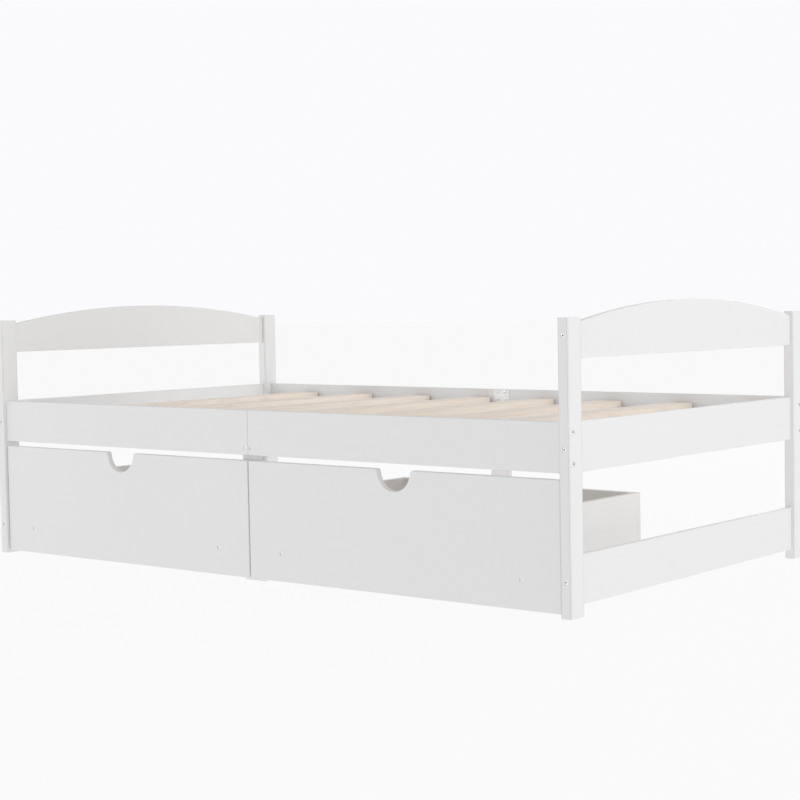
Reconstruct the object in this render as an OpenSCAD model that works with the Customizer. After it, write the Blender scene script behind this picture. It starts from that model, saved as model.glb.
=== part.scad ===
// Single platform bed frame: four posts, arched end panels, split side rails, eight slats
// and two drawers that roll on the floor under the front rail.
// +X runs from the head to the foot, -Y is the drawer side, +Z is up.
// The origin is on the floor under the middle of the bed.

/* [Overall] */
// Length over the posts
bed_l = 2000; // [1600:10:2400]
// Width over the posts
bed_w = 1072; // [880:2:1600]
// Height of the posts
post_h = 660; // [550:5:900]

/* [Posts] */
// Post size along the bed
post_x = 28; // [24:1:60]
// Post size across the bed
post_y = 50; // [40:1:80]
// Width of the flats that break the long edges of a post
post_edge = 1.5; // [0.5:0.5:4]

/* [End boards] */
// Thickness of the end panels, end rails and low rails
board_t = 12; // [12:1:20]
// Height of an end panel where it meets the posts
panel_h = 80; // [60:1:120]
// Rise of the arched top edge above its two ends
panel_rise = 47; // [10:1:80]
// Distance from the top of a post down to the ends of the arch
panel_drop = 10; // [2:1:40]
// Height of the lower edge of the low rails above the floor
low_rail_z = 25; // [10:1:60]

/* [Side rails] */
// Height of the top edge of all the main rails
rail_top = 432; // [360:1:520]
// Height of a rail board
rail_h = 113; // [95:1:140]
// Thickness of a side rail
rail_t = 15; // [12:1:25]
// Distance from the outer face of a post back to the side rail
rail_setback = 8; // [2:1:15]
// Gap between the two halves of a side rail
seam_gap = 0.8; // [0.4:0.1:2]

/* [Slats] */
// Width of a slat
slat_w = 72; // [50:1:100]
// Thickness of a slat
slat_t = 18; // [12:1:22]
// Radius of the corners of a slat
slat_r = 9; // [2:1:20]
// Distance from the head posts to the first slat
slat_head_gap = 149; // [10:1:200]
// Distance from the last slat to the foot posts
slat_foot_gap = 57; // [10:1:200]
// Distance from the top of the rails down to the top of the slats
slat_drop = 23.5; // [15:0.5:45]
// Gap between the end of a slat and the side rail
slat_end_gap = 5; // [3:1:12]
// Width of the ledger strip that carries the slats
ledger_w = 30; // [20:1:40]
// Height of the ledger strip
ledger_h = 25; // [15:1:35]
// Gap between a ledger and the piece at each of its ends
ledger_gap = 1; // [0.5:0.5:5]

/* [Centre legs] */
// Width of a centre leg
leg_w = 68; // [50:1:90]
// Thickness of a centre leg
leg_t = 15; // [12:1:25]
// Width of the steel plate that joins two rail halves
plate_w = 57; // [45:1:80]
// Height of the steel plate
plate_h = 37; // [30:1:45]
// Thickness of the steel plate
plate_t = 2; // [1:0.5:3]
// Distance from the rail top down to the plate
plate_drop = 1; // [0.5:0.5:5]

/* [Drawers] */
// Thickness of a drawer front
front_t = 16; // [12:1:20]
// Gap between the drawer front and the floor
floor_gap = 8; // [4:1:12]
// Gap between the drawer front and the rail above it
rail_gap = 14; // [6:1:30]
// Gap between the two drawer fronts
drawer_gap = 4; // [2:0.5:8]
// Gap between a drawer front and the post beside it
post_gap = 3.5; // [2:0.5:8]
// Gap between a closed drawer front and the centre leg that stops it
stop_gap = 1; // [0.5:0.5:3]
// Distance from the end of the front in to the side of the box
box_inset = 102; // [60:1:140]
// Depth of the drawer box behind the front
box_d = 460; // [300:5:560]
// Thickness of the drawer sides and back
box_t = 16; // [12:1:20]
// Distance from the top of the front down to the top of the box
box_drop = 80; // [60:1:100]
// Thickness of the drawer bottom
bottom_t = 12; // [10:1:18]
// Radius of the finger notch
notch_r = 52; // [30:1:58]
// Radius of the rounded shoulders of the notch
notch_shoulder = 6; // [2:1:12]

/* [Casters] */
// Diameter of a caster wheel
wheel_d = 40; // [30:1:44]
// Width of a caster wheel
wheel_w = 18; // [12:1:24]
// Gap between the top of a wheel and the plate of its bracket
wheel_top_gap = 6; // [4:0.5:12]
// Thickness of the caster bracket
bracket_t = 2; // [1:0.5:3]
// Diameter of a caster axle
axle_d = 6; // [4:0.5:8]
// Gap between a wheel and each cheek of its bracket
cheek_gap = 1; // [0.5:0.5:3]
// Distance from the middle of a caster to the front or back board
caster_inset = 50; // [45:1:80]
// Distance from the middle of a caster to the drawer side
caster_side_inset = 30; // [25:1:60]

/* [Hardware] */
// Diameter of the frame bolts
bolt_d = 6; // [5:0.5:8]
// Diameter of a bolt head
head_d = 11; // [10:1:14]
// Thickness of a bolt head
head_t = 2; // [1.5:0.5:3]
// Depth of a bolt head below the surface
head_sink = 0.8; // [0:0.1:1]
// Diameter of a threaded insert
insert_d = 9; // [8:0.5:10]
// Length of a threaded insert
insert_l = 15; // [10:1:20]
// Diameter of a dowel
dowel_d = 6; // [5:0.5:8]
// Length of a dowel
dowel_l = 36; // [24:1:40]
// Diameter of a wood screw
screw_d = 4; // [3:0.5:5]
// Radial clearance of a bolt, dowel or axle in its hole
fit_gap = 0.05; // [0.02:0.01:0.1]
// Radial clearance of a bolt in the hole through a post
bolt_gap = 0.25; // [0.1:0.05:0.5]

/* [Hidden] */
$fn = 48;

// Margin by which a cutting tool passes through the face that it opens
cut = 1;

HEAD = -1;
FOOT = 1;
FRONT = -1;
REAR = 1;
LEFT = -1;
RIGHT = 1;

PAINT = [0.95, 0.95, 0.95];
PINE = [0.87, 0.80, 0.71];
STEEL = [0.72, 0.72, 0.74];
RUBBER = [0.25, 0.25, 0.27];
BEECH = [0.80, 0.66, 0.48];

// Posts and the faces that the boards meet
post_in_x = bed_l / 2 - post_x;
post_in_y = bed_w / 2 - post_y;
post_mid_x = bed_l / 2 - post_x / 2;
panel_z = post_h - panel_drop - panel_h;
rail_z = rail_top - rail_h;
rail_out_y = bed_w / 2 - rail_setback;
rail_in_y = rail_out_y - rail_t;
rail_mid_y = rail_out_y - rail_t / 2;
arch_r = (post_in_y * post_in_y + panel_rise * panel_rise) / (2 * panel_rise);

// Slats and ledgers
slat_count = 8;
slat_top = rail_top - slat_drop;
slat_z = slat_top - slat_t;
slat_half = rail_in_y - slat_end_gap;
slat_pitch = (2 * post_in_x - slat_head_gap - slat_foot_gap - slat_w) / (slat_count - 1);
slat_screw_y = (slat_half + rail_in_y - ledger_w) / 2;
slat_screw_l = slat_t + ledger_h * 0.6;

// Centre legs and joint plates
plate_z = rail_top - plate_drop - plate_h;
plate_screw_x = plate_w / 4;
plate_screw_z = plate_h / 2 - 7;
plate_screw_l = rail_t - 3;
leg_screw_x = 10;
leg_screw_z = rail_z + 17;
leg_screw_l = rail_t + leg_t - 4;

// Bolts: one in each end of each end board, two in each end of each side rail
head_recess = head_t + head_sink;
bolt_past_insert = 3;
end_bolt_z = [
    panel_z + panel_h * 0.64,
    rail_z + rail_h * 0.47,
    low_rail_z + rail_h / 2
];
end_bolt_l = post_y - head_recess + insert_l + bolt_past_insert;
side_bolt_spread = 35;
side_bolt_z = [rail_z + rail_h / 2 - side_bolt_spread, rail_z + rail_h / 2 + side_bolt_spread];
side_bolt_l = post_x - head_recess + insert_l + bolt_past_insert;
insert_hole_l = insert_l + bolt_past_insert + 2;
dowel_spread = rail_h * 0.3;
panel_dowel_z = [panel_z + panel_h * 0.25];
end_dowel_z = [rail_z + rail_h / 2 - dowel_spread, rail_z + rail_h / 2 + dowel_spread];
low_dowel_z = [low_rail_z + rail_h / 2 - dowel_spread, low_rail_z + rail_h / 2 + dowel_spread];
dowel_hole_l = dowel_l / 2 + 1;

// Drawers
front_back_y = -rail_in_y - stop_gap;
front_top = rail_z - rail_gap;
front_w = post_in_x - post_gap - drawer_gap / 2;
drawer_mid_x = drawer_gap / 2 + front_w / 2;
box_half = front_w / 2 - box_inset;
box_top = front_top - box_drop;
box_back_y = front_back_y + box_d;
caster_h = wheel_d + wheel_top_gap + bracket_t;
box_screw_l = 50;
large_head_d = 10;
small_head_d = 7;
screw_edge = 30;
front_screw_z = caster_h + screw_edge;
back_screw_z = [caster_h + screw_edge, box_top - screw_edge];
shoulder_x = sqrt((notch_r + notch_shoulder) * (notch_r + notch_shoulder) - notch_shoulder * notch_shoulder);
shoulder_z = notch_shoulder * notch_r / (notch_r + notch_shoulder);

// Casters
fork_in = wheel_w / 2 + cheek_gap;
fork_out = fork_in + bracket_t;
cheek_w = axle_d + 20;
cheek_below_axle = axle_d;
caster_screw_y = wheel_d / 2 + 5;
caster_plate_l = 2 * caster_screw_y + 14;
caster_screw_in = bottom_t - 3;
caster_x = box_half - box_t - caster_side_inset;
caster_front_y = front_back_y + caster_inset;
caster_rear_y = box_back_y - box_t - caster_inset;

// Box between two corner points
module block(low, high) {
    translate(low) cube(high - low);
}

// Moves what is drawn for the rear foot corner to any corner
module at_corner(end, side) {
    mirror([end == HEAD ? 1 : 0, 0, 0]) mirror([0, side == FRONT ? 1 : 0, 0]) children();
}

// Round bar that starts at the origin and runs along -Y
module bar_y(d, l) {
    rotate([90, 0, 0]) cylinder(d = d, h = l);
}

// Round bar that starts at the origin and runs along -X
module bar_x(d, l) {
    rotate([0, -90, 0]) cylinder(d = d, h = l);
}

// Round bar that starts at the origin and runs down
module bar_down(d, l) {
    translate([0, 0, -l]) cylinder(d = d, h = l);
}

// Flat-headed bolt with a hexagon socket, its head's outer face at the origin, shank up
module bolt(l) {
    difference() {
        union() {
            cylinder(d = head_d, h = head_t);
            translate([0, 0, head_t]) cylinder(d = bolt_d, h = l);
        }
        translate([0, 0, -cut]) cylinder(d = 4.6, h = cut + head_t * 0.6, $fn = 6);
    }
}

// Flat-headed wood screw with a cross-shaped drive, head's outer face at the origin, shank up
module wood_screw(l, head) {
    slot_w = head * 0.16;
    slot_l = head * 0.6;
    difference() {
        union() {
            cylinder(d = head, h = head_t);
            translate([0, 0, head_t]) cylinder(d = screw_d, h = l - head_t);
        }
        for (turn = [0, 90]) {
            rotate([0, 0, turn]) translate([0, 0, head_t * 0.2]) cube([slot_l, slot_w, head_t * 0.8], center = true);
        }
    }
}

// Cross-section of a post with its four long edges broken
module post_outline() {
    e = post_edge;
    polygon([
        [e, 0], [post_x - e, 0], [post_x, e], [post_x, post_y - e],
        [post_x - e, post_y], [e, post_y], [0, post_y - e], [0, e]
    ]);
}

// Corner post with the holes for its bolts and dowels
module post(end, side) {
    color(PAINT) at_corner(end, side) difference() {
        translate([post_in_x, post_in_y, 0]) linear_extrude(post_h) post_outline();
        for (z = end_bolt_z) {
            translate([post_mid_x, bed_w / 2 + cut, z]) {
                bar_y(bolt_d + 2 * bolt_gap, post_y + 2 * cut);
                bar_y(head_d + 2 * bolt_gap, head_recess + cut);
            }
        }
        for (z = side_bolt_z) {
            translate([bed_l / 2 + cut, rail_mid_y, z]) {
                bar_x(bolt_d + 2 * bolt_gap, post_x + 2 * cut);
                bar_x(head_d + 2 * bolt_gap, head_recess + cut);
            }
        }
        for (z = concat(panel_dowel_z, end_dowel_z, low_dowel_z)) {
            translate([post_mid_x, post_in_y + dowel_hole_l, z])
                bar_y(dowel_d + 2 * fit_gap, dowel_hole_l + cut);
        }
    }
}

// Holes in both ends of a board between two posts, for one insert and its dowels
module end_board_holes(bolt_z, dowel_z) {
    for (side = [FRONT, REAR]) {
        mirror([0, side == FRONT ? 1 : 0, 0]) {
            translate([0, post_in_y + cut, bolt_z]) bar_y(insert_d + 2 * fit_gap, insert_hole_l + cut);
            for (z = dowel_z) {
                translate([0, post_in_y + cut, z]) bar_y(dowel_d + 2 * fit_gap, dowel_hole_l + cut);
            }
        }
    }
}

// Arched panel between the two posts of one end
module end_panel(end) {
    color(PAINT) translate([end * post_mid_x, 0, 0]) difference() {
        intersection() {
            block([-board_t / 2, -post_in_y, panel_z],
                  [board_t / 2, post_in_y, panel_z + panel_h + panel_rise + cut]);
            translate([-board_t, 0, panel_z + panel_h + panel_rise - arch_r])
                rotate([0, 90, 0]) cylinder(r = arch_r, h = 2 * board_t, $fn = 360);
        }
        end_board_holes(end_bolt_z[0], panel_dowel_z);
    }
}

// Straight board between the two posts of one end
module end_rail(end, z, bolt_z, dowel_z) {
    color(PAINT) translate([end * post_mid_x, 0, 0]) difference() {
        block([-board_t / 2, -post_in_y, z], [board_t / 2, post_in_y, z + rail_h]);
        end_board_holes(bolt_z, dowel_z);
    }
}

// Half of a side rail, from the seam at mid length to the post
module side_rail(end, side) {
    color(PAINT) at_corner(end, side) difference() {
        block([seam_gap / 2, rail_in_y, rail_z], [post_in_x, rail_out_y, rail_top]);
        for (z = side_bolt_z) {
            translate([post_in_x + cut, rail_mid_y, z]) bar_x(insert_d + 2 * fit_gap, insert_hole_l + cut);
        }
        translate([leg_screw_x, rail_out_y + cut, leg_screw_z]) {
            bar_y(screw_d + 2 * fit_gap, rail_t + 2 * cut);
            bar_y(large_head_d + 2 * bolt_gap, head_recess + cut);
        }
        for (z = [-plate_screw_z, plate_screw_z]) {
            translate([plate_screw_x, rail_in_y + plate_screw_l, plate_z + plate_h / 2 + z])
                bar_y(screw_d + 2 * fit_gap, plate_screw_l + cut);
        }
    }
}

// Ledger strip glued inside a rail half, under the slats
module ledger(end, side) {
    color(PAINT) difference() {
        at_corner(end, side)
            block([leg_w / 2 + ledger_gap, rail_in_y - ledger_w, slat_z - ledger_h],
                  [post_in_x - ledger_gap, rail_in_y, slat_z]);
        slat_screw_holes(slat_z + cut, slat_screw_l - slat_t + 2 * cut, side);
    }
}

// Middle of a slat along the bed
function slat_x(i) = -post_in_x + slat_head_gap + slat_w / 2 + (i - 1) * slat_pitch;

// Pilot holes for the slat screws on one side of the bed
module slat_screw_holes(z, l, side) {
    for (i = [1:slat_count]) {
        translate([slat_x(i), side * slat_screw_y, z]) bar_down(screw_d + 2 * fit_gap, l);
    }
}

// Rounded corners of a slat seen from above
module slat_outline() {
    difference() {
        square([slat_w, 2 * slat_half], center = true);
        for (a = [-1, 1], b = [-1, 1]) {
            translate([a * (slat_w / 2 - slat_r), b * (slat_half - slat_r)]) difference() {
                translate([a > 0 ? 0 : -slat_r - cut, b > 0 ? 0 : -slat_r - cut])
                    square(slat_r + cut);
                circle(r = slat_r);
            }
        }
    }
}

// One slat, counted from the head
module slat(i) {
    color(PINE) difference() {
        translate([slat_x(i), 0, slat_z]) linear_extrude(slat_t) slat_outline();
        for (side = [FRONT, REAR]) {
            translate([slat_x(i), side * slat_screw_y, slat_top + cut]) {
                bar_down(screw_d + 2 * fit_gap, slat_t + 2 * cut);
                bar_down(small_head_d + 2 * bolt_gap, head_recess + cut);
            }
        }
    }
}

// Leg behind the seam of a side rail
module centre_leg(side) {
    color(PAINT) mirror([0, side == FRONT ? 1 : 0, 0]) difference() {
        block([-leg_w / 2, rail_in_y - leg_t, 0], [leg_w / 2, rail_in_y, slat_z]);
        for (x = [-leg_screw_x, leg_screw_x]) {
            translate([x, rail_in_y + cut, leg_screw_z])
                bar_y(screw_d + 2 * fit_gap, leg_screw_l - rail_t + 1 + cut);
        }
    }
}

// Steel plate that joins two rail halves on the inside
module joint_plate(side) {
    color(STEEL) mirror([0, side == FRONT ? 1 : 0, 0]) difference() {
        block([-plate_w / 2, rail_in_y - plate_t, plate_z], [plate_w / 2, rail_in_y, plate_z + plate_h]);
        for (x = [-plate_screw_x, plate_screw_x], z = [-plate_screw_z, plate_screw_z]) {
            translate([x, rail_in_y + cut, plate_z + plate_h / 2 + z])
                bar_y(screw_d + 2 * bolt_gap, plate_t + 2 * cut);
        }
    }
}

// Bolts through the posts into the end boards
module end_board_bolts() {
    color(STEEL) for (end = [HEAD, FOOT], side = [FRONT, REAR], z = end_bolt_z) {
        at_corner(end, side) translate([post_mid_x, bed_w / 2 - head_sink, z])
            rotate([90, 0, 0]) bolt(end_bolt_l);
    }
}

// Bolts through the posts into the side rails
module side_rail_bolts() {
    color(STEEL) for (end = [HEAD, FOOT], side = [FRONT, REAR], z = side_bolt_z) {
        at_corner(end, side) translate([bed_l / 2 - head_sink, rail_mid_y, z])
            rotate([0, -90, 0]) bolt(side_bolt_l);
    }
}

// Sleeve in the end of a board that takes a bolt, running up from the origin
module insert() {
    difference() {
        cylinder(d = insert_d, h = insert_l);
        translate([0, 0, -cut]) cylinder(d = bolt_d + 2 * fit_gap, h = insert_l + 2 * cut);
    }
}

// Every threaded insert, in the end boards and the side rails
module threaded_inserts() {
    color(STEEL) for (end = [HEAD, FOOT], side = [FRONT, REAR]) {
        at_corner(end, side) {
            for (z = end_bolt_z) {
                translate([post_mid_x, post_in_y, z]) rotate([90, 0, 0]) insert();
            }
            for (z = side_bolt_z) {
                translate([post_in_x, rail_mid_y, z]) rotate([0, -90, 0]) insert();
            }
        }
    }
}

// Dowels between the posts and the end boards
module dowels() {
    color(BEECH) for (end = [HEAD, FOOT], side = [FRONT, REAR]) {
        for (z = concat(panel_dowel_z, end_dowel_z, low_dowel_z)) {
            at_corner(end, side) translate([post_mid_x, post_in_y + dowel_l / 2, z]) bar_y(dowel_d, dowel_l);
        }
    }
}

// Screws through the rail halves into the centre legs
module centre_leg_screws() {
    color(STEEL) for (end = [HEAD, FOOT], side = [FRONT, REAR]) {
        at_corner(end, side) translate([leg_screw_x, rail_out_y - head_sink, leg_screw_z])
            rotate([90, 0, 0]) wood_screw(leg_screw_l, large_head_d);
    }
}

// Screws through the joint plates into the rail halves
module joint_plate_screws() {
    color(STEEL) for (end = [HEAD, FOOT], side = [FRONT, REAR], z = [-plate_screw_z, plate_screw_z]) {
        at_corner(end, side)
            translate([plate_screw_x, rail_in_y - plate_t - head_t, plate_z + plate_h / 2 + z])
                rotate([-90, 0, 0]) wood_screw(plate_screw_l + plate_t + head_t - 1, small_head_d);
    }
}

// Screws through the slats into the ledgers
module slat_screws() {
    color(STEEL) for (i = [1:slat_count], side = [FRONT, REAR]) {
        translate([slat_x(i), side * slat_screw_y, slat_top - head_sink])
            rotate([180, 0, 0]) wood_screw(slat_screw_l, small_head_d);
    }
}

// Finger notch with rounded shoulders, drawn with the top edge of the front on the X axis
module notch_outline() {
    circle(r = notch_r, $fn = 96);
    for (way = [-1, 1]) {
        difference() {
            translate([way > 0 ? 0 : -shoulder_x, -shoulder_z]) square([shoulder_x, shoulder_z + cut]);
            translate([way * shoulder_x, -notch_shoulder]) circle(r = notch_shoulder);
        }
    }
}

// Places what is drawn for a drawer whose middle is at x = 0
module at_drawer(hand) {
    translate([hand * drawer_mid_x, 0, 0]) children();
}

// Drawer front with its finger notch and the two low screw holes
module drawer_front(hand) {
    color(PAINT) at_drawer(hand) difference() {
        block([-front_w / 2, front_back_y - front_t, floor_gap], [front_w / 2, front_back_y, front_top]);
        translate([0, front_back_y + cut, front_top]) rotate([90, 0, 0])
            linear_extrude(front_t + 2 * cut) notch_outline();
        for (way = [-1, 1]) {
            translate([way * (box_half - box_t / 2), front_back_y + cut, front_screw_z]) {
                bar_y(screw_d + 2 * fit_gap, front_t + 2 * cut);
                translate([0, head_recess - front_t - cut, 0])
                    bar_y(large_head_d + 2 * bolt_gap, head_recess + cut);
            }
        }
    }
}

// Side of the drawer box, on the given side of the drawer's middle
module drawer_side(hand, way) {
    color(PAINT) at_drawer(hand) mirror([way < 0 ? 1 : 0, 0, 0]) difference() {
        block([box_half - box_t, front_back_y, caster_h], [box_half, box_back_y - box_t, box_top]);
        translate([box_half - box_t / 2, front_back_y + box_screw_l, front_screw_z])
            bar_y(screw_d + 2 * fit_gap, box_screw_l + cut);
        for (z = back_screw_z) {
            translate([box_half - box_t / 2, box_back_y - box_t + cut, z])
                bar_y(screw_d + 2 * fit_gap, box_screw_l + cut);
        }
    }
}

// Back of the drawer box, across the ends of its sides
module drawer_back(hand) {
    color(PAINT) at_drawer(hand) difference() {
        block([-box_half, box_back_y - box_t, caster_h], [box_half, box_back_y, box_top]);
        for (way = [-1, 1], z = back_screw_z) {
            translate([way * (box_half - box_t / 2), box_back_y + cut, z]) {
                bar_y(screw_d + 2 * fit_gap, box_t + 2 * cut);
                bar_y(large_head_d + 2 * bolt_gap, head_recess + cut);
            }
        }
    }
}

// Bottom board between the four sides of the box
module drawer_bottom(hand) {
    color(PAINT) at_drawer(hand) difference() {
        block([-(box_half - box_t), front_back_y, caster_h],
              [box_half - box_t, box_back_y - box_t, caster_h + bottom_t]);
        at_casters() for (way = [-1, 1]) {
            translate([0, way * caster_screw_y, caster_h - cut])
                cylinder(d = screw_d + 2 * fit_gap, h = caster_screw_in + 1 + cut);
        }
    }
}

// Screws of one drawer: two through the front and four through the back
module drawer_screws(hand) {
    color(STEEL) at_drawer(hand) for (way = [-1, 1]) {
        translate([way * (box_half - box_t / 2), front_back_y - front_t + head_sink, front_screw_z])
            rotate([-90, 0, 0]) wood_screw(box_screw_l, large_head_d);
        for (z = back_screw_z) {
            translate([way * (box_half - box_t / 2), box_back_y - head_sink, z])
                rotate([90, 0, 0]) wood_screw(box_screw_l, large_head_d);
        }
    }
}

// Repeats what is drawn for one caster at the four casters of a drawer
module at_casters() {
    for (x = [-caster_x, caster_x], y = [caster_front_y, caster_rear_y]) {
        translate([x, y, 0]) children();
    }
}

// Pressed steel bracket that holds a wheel under the drawer bottom
module caster_bracket() {
    difference() {
        union() {
            block([-fork_out, -caster_plate_l / 2, caster_h - bracket_t], [fork_out, caster_plate_l / 2, caster_h]);
            for (way = [-1, 1]) {
                mirror([way < 0 ? 1 : 0, 0, 0])
                    block([fork_in, -cheek_w / 2, wheel_d / 2 - cheek_below_axle],
                          [fork_out, cheek_w / 2, caster_h - bracket_t]);
            }
        }
        translate([fork_out + cut, 0, wheel_d / 2]) bar_x(axle_d + 2 * fit_gap, 2 * (fork_out + cut));
        for (way = [-1, 1]) {
            translate([0, way * caster_screw_y, caster_h - bracket_t - cut])
                cylinder(d = screw_d + 2 * bolt_gap, h = bracket_t + 2 * cut);
        }
    }
}

module caster_brackets(hand) {
    color(STEEL) at_drawer(hand) at_casters() caster_bracket();
}

// Riveted pins on which the wheels turn
module caster_axles(hand) {
    rivet_t = 1;
    rivet_d = axle_d + 3;
    color(STEEL) at_drawer(hand) at_casters() translate([fork_out, 0, wheel_d / 2]) {
        bar_x(axle_d, 2 * fork_out);
        translate([rivet_t, 0, 0]) bar_x(rivet_d, rivet_t);
        translate([-2 * fork_out, 0, 0]) bar_x(rivet_d, rivet_t);
    }
}

// Screws that hold the brackets to the drawer bottom
module caster_screws(hand) {
    color(STEEL) at_drawer(hand) at_casters() for (way = [-1, 1]) {
        translate([0, way * caster_screw_y, caster_h - bracket_t - head_t])
            wood_screw(head_t + bracket_t + caster_screw_in, small_head_d);
    }
}

// Wheel with a running bore and rounded-off tread edges, its axis along X
module wheel() {
    r = wheel_d / 2;
    half = wheel_w / 2;
    bore = axle_d / 2 + fit_gap;
    edge = 2;
    rotate([0, 90, 0]) rotate_extrude($fn = 64) polygon([
        [bore, -half], [r - edge, -half], [r, -half + edge],
        [r, half - edge], [r - edge, half], [bore, half]
    ]);
}

// The two wheels of a drawer that share one axis
module wheel_pair(hand, y) {
    color(RUBBER) at_drawer(hand) for (x = [-caster_x, caster_x]) {
        translate([x, y, wheel_d / 2]) wheel();
    }
}

post(HEAD, FRONT);  // post_head_front
post(HEAD, REAR);  // post_head_rear
post(FOOT, FRONT);  // post_foot_front
post(FOOT, REAR);  // post_foot_rear
end_panel(HEAD);  // headboard_panel
end_panel(FOOT);  // footboard_panel
end_rail(HEAD, rail_z, end_bolt_z[1], end_dowel_z);  // head_end_rail
end_rail(FOOT, rail_z, end_bolt_z[1], end_dowel_z);  // foot_end_rail
end_rail(HEAD, low_rail_z, end_bolt_z[2], low_dowel_z);  // head_low_rail
end_rail(FOOT, low_rail_z, end_bolt_z[2], low_dowel_z);  // foot_low_rail
side_rail(HEAD, FRONT);  // front_rail_head_half
side_rail(FOOT, FRONT);  // front_rail_foot_half
side_rail(HEAD, REAR);  // rear_rail_head_half
side_rail(FOOT, REAR);  // rear_rail_foot_half
ledger(HEAD, FRONT);  // front_ledger_head_half
ledger(FOOT, FRONT);  // front_ledger_foot_half
ledger(HEAD, REAR);  // rear_ledger_head_half
ledger(FOOT, REAR);  // rear_ledger_foot_half
centre_leg(FRONT);  // centre_leg_front
centre_leg(REAR);  // centre_leg_rear
joint_plate(FRONT);  // joint_plate_front
joint_plate(REAR);  // joint_plate_rear
slat(1);  // slat_1
slat(2);  // slat_2
slat(3);  // slat_3
slat(4);  // slat_4
slat(5);  // slat_5
slat(6);  // slat_6
slat(7);  // slat_7
slat(8);  // slat_8
end_board_bolts();
side_rail_bolts();
threaded_inserts();
dowels();
centre_leg_screws();
joint_plate_screws();
slat_screws();
drawer_front(LEFT);  // left_drawer_front
drawer_side(LEFT, LEFT);  // left_drawer_side_outer
drawer_side(LEFT, RIGHT);  // left_drawer_side_inner
drawer_back(LEFT);  // left_drawer_back
drawer_bottom(LEFT);  // left_drawer_bottom
drawer_screws(LEFT);  // left_drawer_screws
caster_brackets(LEFT);  // left_caster_brackets
caster_axles(LEFT);  // left_caster_axles
caster_screws(LEFT);  // left_caster_screws
wheel_pair(LEFT, caster_front_y);  // left_wheels_front
wheel_pair(LEFT, caster_rear_y);  // left_wheels_rear
drawer_front(RIGHT);  // right_drawer_front
drawer_side(RIGHT, RIGHT);  // right_drawer_side_outer
drawer_side(RIGHT, LEFT);  // right_drawer_side_inner
drawer_back(RIGHT);  // right_drawer_back
drawer_bottom(RIGHT);  // right_drawer_bottom
drawer_screws(RIGHT);  // right_drawer_screws
caster_brackets(RIGHT);  // right_caster_brackets
caster_axles(RIGHT);  // right_caster_axles
caster_screws(RIGHT);  // right_caster_screws
wheel_pair(RIGHT, caster_front_y);  // right_wheels_front
wheel_pair(RIGHT, caster_rear_y);  // right_wheels_rear
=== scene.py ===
"""Single bed frame with arched end boards, split side rails, pine slats and two rolling drawers."""
import logging
import math
from dataclasses import dataclass
from enum import Enum
from typing import ClassVar, Sequence

import bmesh
import bpy
from mathutils import Matrix, Vector


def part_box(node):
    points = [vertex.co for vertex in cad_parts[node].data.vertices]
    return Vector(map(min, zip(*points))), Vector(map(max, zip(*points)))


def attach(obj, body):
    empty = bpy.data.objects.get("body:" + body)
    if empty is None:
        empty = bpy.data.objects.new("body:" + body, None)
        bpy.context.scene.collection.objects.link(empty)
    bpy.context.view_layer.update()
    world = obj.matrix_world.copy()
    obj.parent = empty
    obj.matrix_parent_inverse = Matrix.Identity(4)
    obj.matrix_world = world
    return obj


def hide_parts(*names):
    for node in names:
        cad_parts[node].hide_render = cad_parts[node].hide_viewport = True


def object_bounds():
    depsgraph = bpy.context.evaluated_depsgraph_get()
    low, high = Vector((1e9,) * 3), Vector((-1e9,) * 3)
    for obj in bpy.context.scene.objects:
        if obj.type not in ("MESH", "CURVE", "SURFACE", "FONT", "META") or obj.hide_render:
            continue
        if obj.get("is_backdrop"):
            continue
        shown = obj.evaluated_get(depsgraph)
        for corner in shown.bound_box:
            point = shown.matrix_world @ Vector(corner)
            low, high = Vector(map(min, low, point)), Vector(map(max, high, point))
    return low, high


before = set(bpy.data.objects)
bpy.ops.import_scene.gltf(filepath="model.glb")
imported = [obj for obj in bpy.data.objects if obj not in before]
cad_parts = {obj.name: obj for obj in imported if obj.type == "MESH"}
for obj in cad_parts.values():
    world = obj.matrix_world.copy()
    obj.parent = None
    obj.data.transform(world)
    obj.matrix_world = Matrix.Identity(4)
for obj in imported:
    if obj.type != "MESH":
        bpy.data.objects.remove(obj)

Socket = bpy.types.NodeSocket
LOG = logging.getLogger("bed_frame")
MM = 0.001
WELD = 0.01 * MM
ROUNDING_FACES = 3
SHARP_EDGE = math.radians(40)


class Axis(Enum):
    """Direction that a board's grain or a fastener's shank runs in."""

    X = 0
    Y = 1
    Z = 2


class HeadEnd(Enum):
    """Which end of a fastener carries its head."""

    OUTWARD = "outward"
    INWARD = "inward"
    UP = "up"
    DOWN = "down"


class Drive(Enum):
    """Shape of the recess in a fastener's head."""

    HEXAGON = "hexagon"
    CROSS = "cross"


# ------------------------------------------------------------
# Shader and geometry node helpers


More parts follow.
